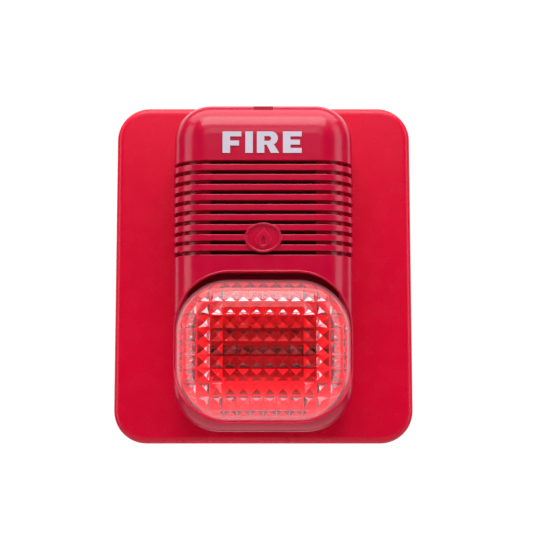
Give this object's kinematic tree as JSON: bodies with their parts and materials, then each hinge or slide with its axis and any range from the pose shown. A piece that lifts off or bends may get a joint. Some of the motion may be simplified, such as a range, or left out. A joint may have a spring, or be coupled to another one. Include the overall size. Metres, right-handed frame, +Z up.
{
  "type": "horn strobe",
  "caption": "Wall-mounted fire alarm horn strobe: square plate, louvred sounder hood and domed prismatic lens.",
  "frame": {"origin": "centre of the wall screw slots, on the back face of the mounting plate", "axes": "+Y into the wall, so the front faces -Y; +Z up; +X to the right seen from the front"},
  "size_m": [0.125, 0.05, 0.1425],
  "materials": {
    "plate_red": "satin moulded",
    "housing_red": "satin moulded",
    "lens_clear": "clear prismatic",
    "gasket_black": "matt",
    "screw_steel": "zinc plated",
    "reflector_red": "glossy",
    "tube_glass": "clear",
    "electrode_metal": "plain",
    "mesh_black": "woven",
    "cup_black": "matt",
    "piezo_brass": "plain",
    "ceramic_white": "silvered ceramic",
    "board_green": "solder mask",
    "capacitor_sleeve": "sleeve",
    "ferrite_black": "ferrite",
    "coil_copper": "enamelled copper",
    "chip_black": "epoxy",
    "contact_brass": "plated",
    "switch_blue": "matt",
    "lever_white": "matt",
    "cover_white": "fine texture",
    "latch_white": "acetal",
    "spring_steel": "plain",
    "terminal_green": "matt"
  },
  "bodies": {
    "base": {"mounting_plate": "plate_red", "latch_pin": "screw_steel", "latch_spring": "spring_steel", "terminal_block": "terminal_green", "terminal_clamps": "contact_brass", "terminal_screws": "screw_steel", "base_contacts": "contact_brass"},
    "head": {"horn_housing": "housing_red", "lens": "lens_clear", "lens_gasket": "gasket_black", "lens_screws": "screw_steel", "reflector": "reflector_red", "flash_tube": "tube_glass", "tube_electrodes": "electrode_metal", "acoustic_mesh": "mesh_black", "sounder_cup": "cup_black", "piezo_plate": "piezo_brass", "piezo_ceramic": "ceramic_white", "sounder_ring": "cup_black", "circuit_board": "board_green", "flash_capacitor": "capacitor_sleeve", "step_up_transformer": "ferrite_black", "choke": "ferrite_black", "trigger_coil": "coil_copper", "power_transistors": "chip_black", "microcontroller": "chip_black", "rectifier_diodes": "chip_black", "contact_studs": "contact_brass", "selector_switch": "switch_blue", "rear_cover": "cover_white", "cover_screws": "screw_steel"},
    "latch": {"release_latch": "latch_white"},
    "lever_1": {"selector_lever_1": "lever_white"},
    "lever_2": {"selector_lever_2": "lever_white"},
    "lever_3": {"selector_lever_3": "lever_white"},
    "lever_4": {"selector_lever_4": "lever_white"}
  },
  "joints": [
    {"name": "head_tilt", "type": "hinge", "parent": "base", "child": "head", "pos_m": [0, -0.012, -0.0644], "axis": [1, 0, 0], "range_deg": [0, 25]},
    {"name": "latch_press", "type": "hinge", "parent": "base", "child": "latch", "pos_m": [0, -0.013, 0.0555], "axis": [1, 0, 0], "range_deg": [0, 8], "stiffness_Nm_per_rad": 0.1, "deforming": ["latch_spring"]},
    {"name": "lever_1_slide", "type": "slide", "parent": "head", "child": "lever_1", "axis": [0, 0, 1], "range_m": [0, 0.0014]},
    {"name": "lever_2_slide", "type": "slide", "parent": "head", "child": "lever_2", "axis": [0, 0, 1], "range_m": [0, 0.0014]},
    {"name": "lever_3_slide", "type": "slide", "parent": "head", "child": "lever_3", "axis": [0, 0, 1], "range_m": [0, 0.0014]},
    {"name": "lever_4_slide", "type": "slide", "parent": "head", "child": "lever_4", "axis": [0, 0, 1], "range_m": [0, 0.0014]}
  ]
}
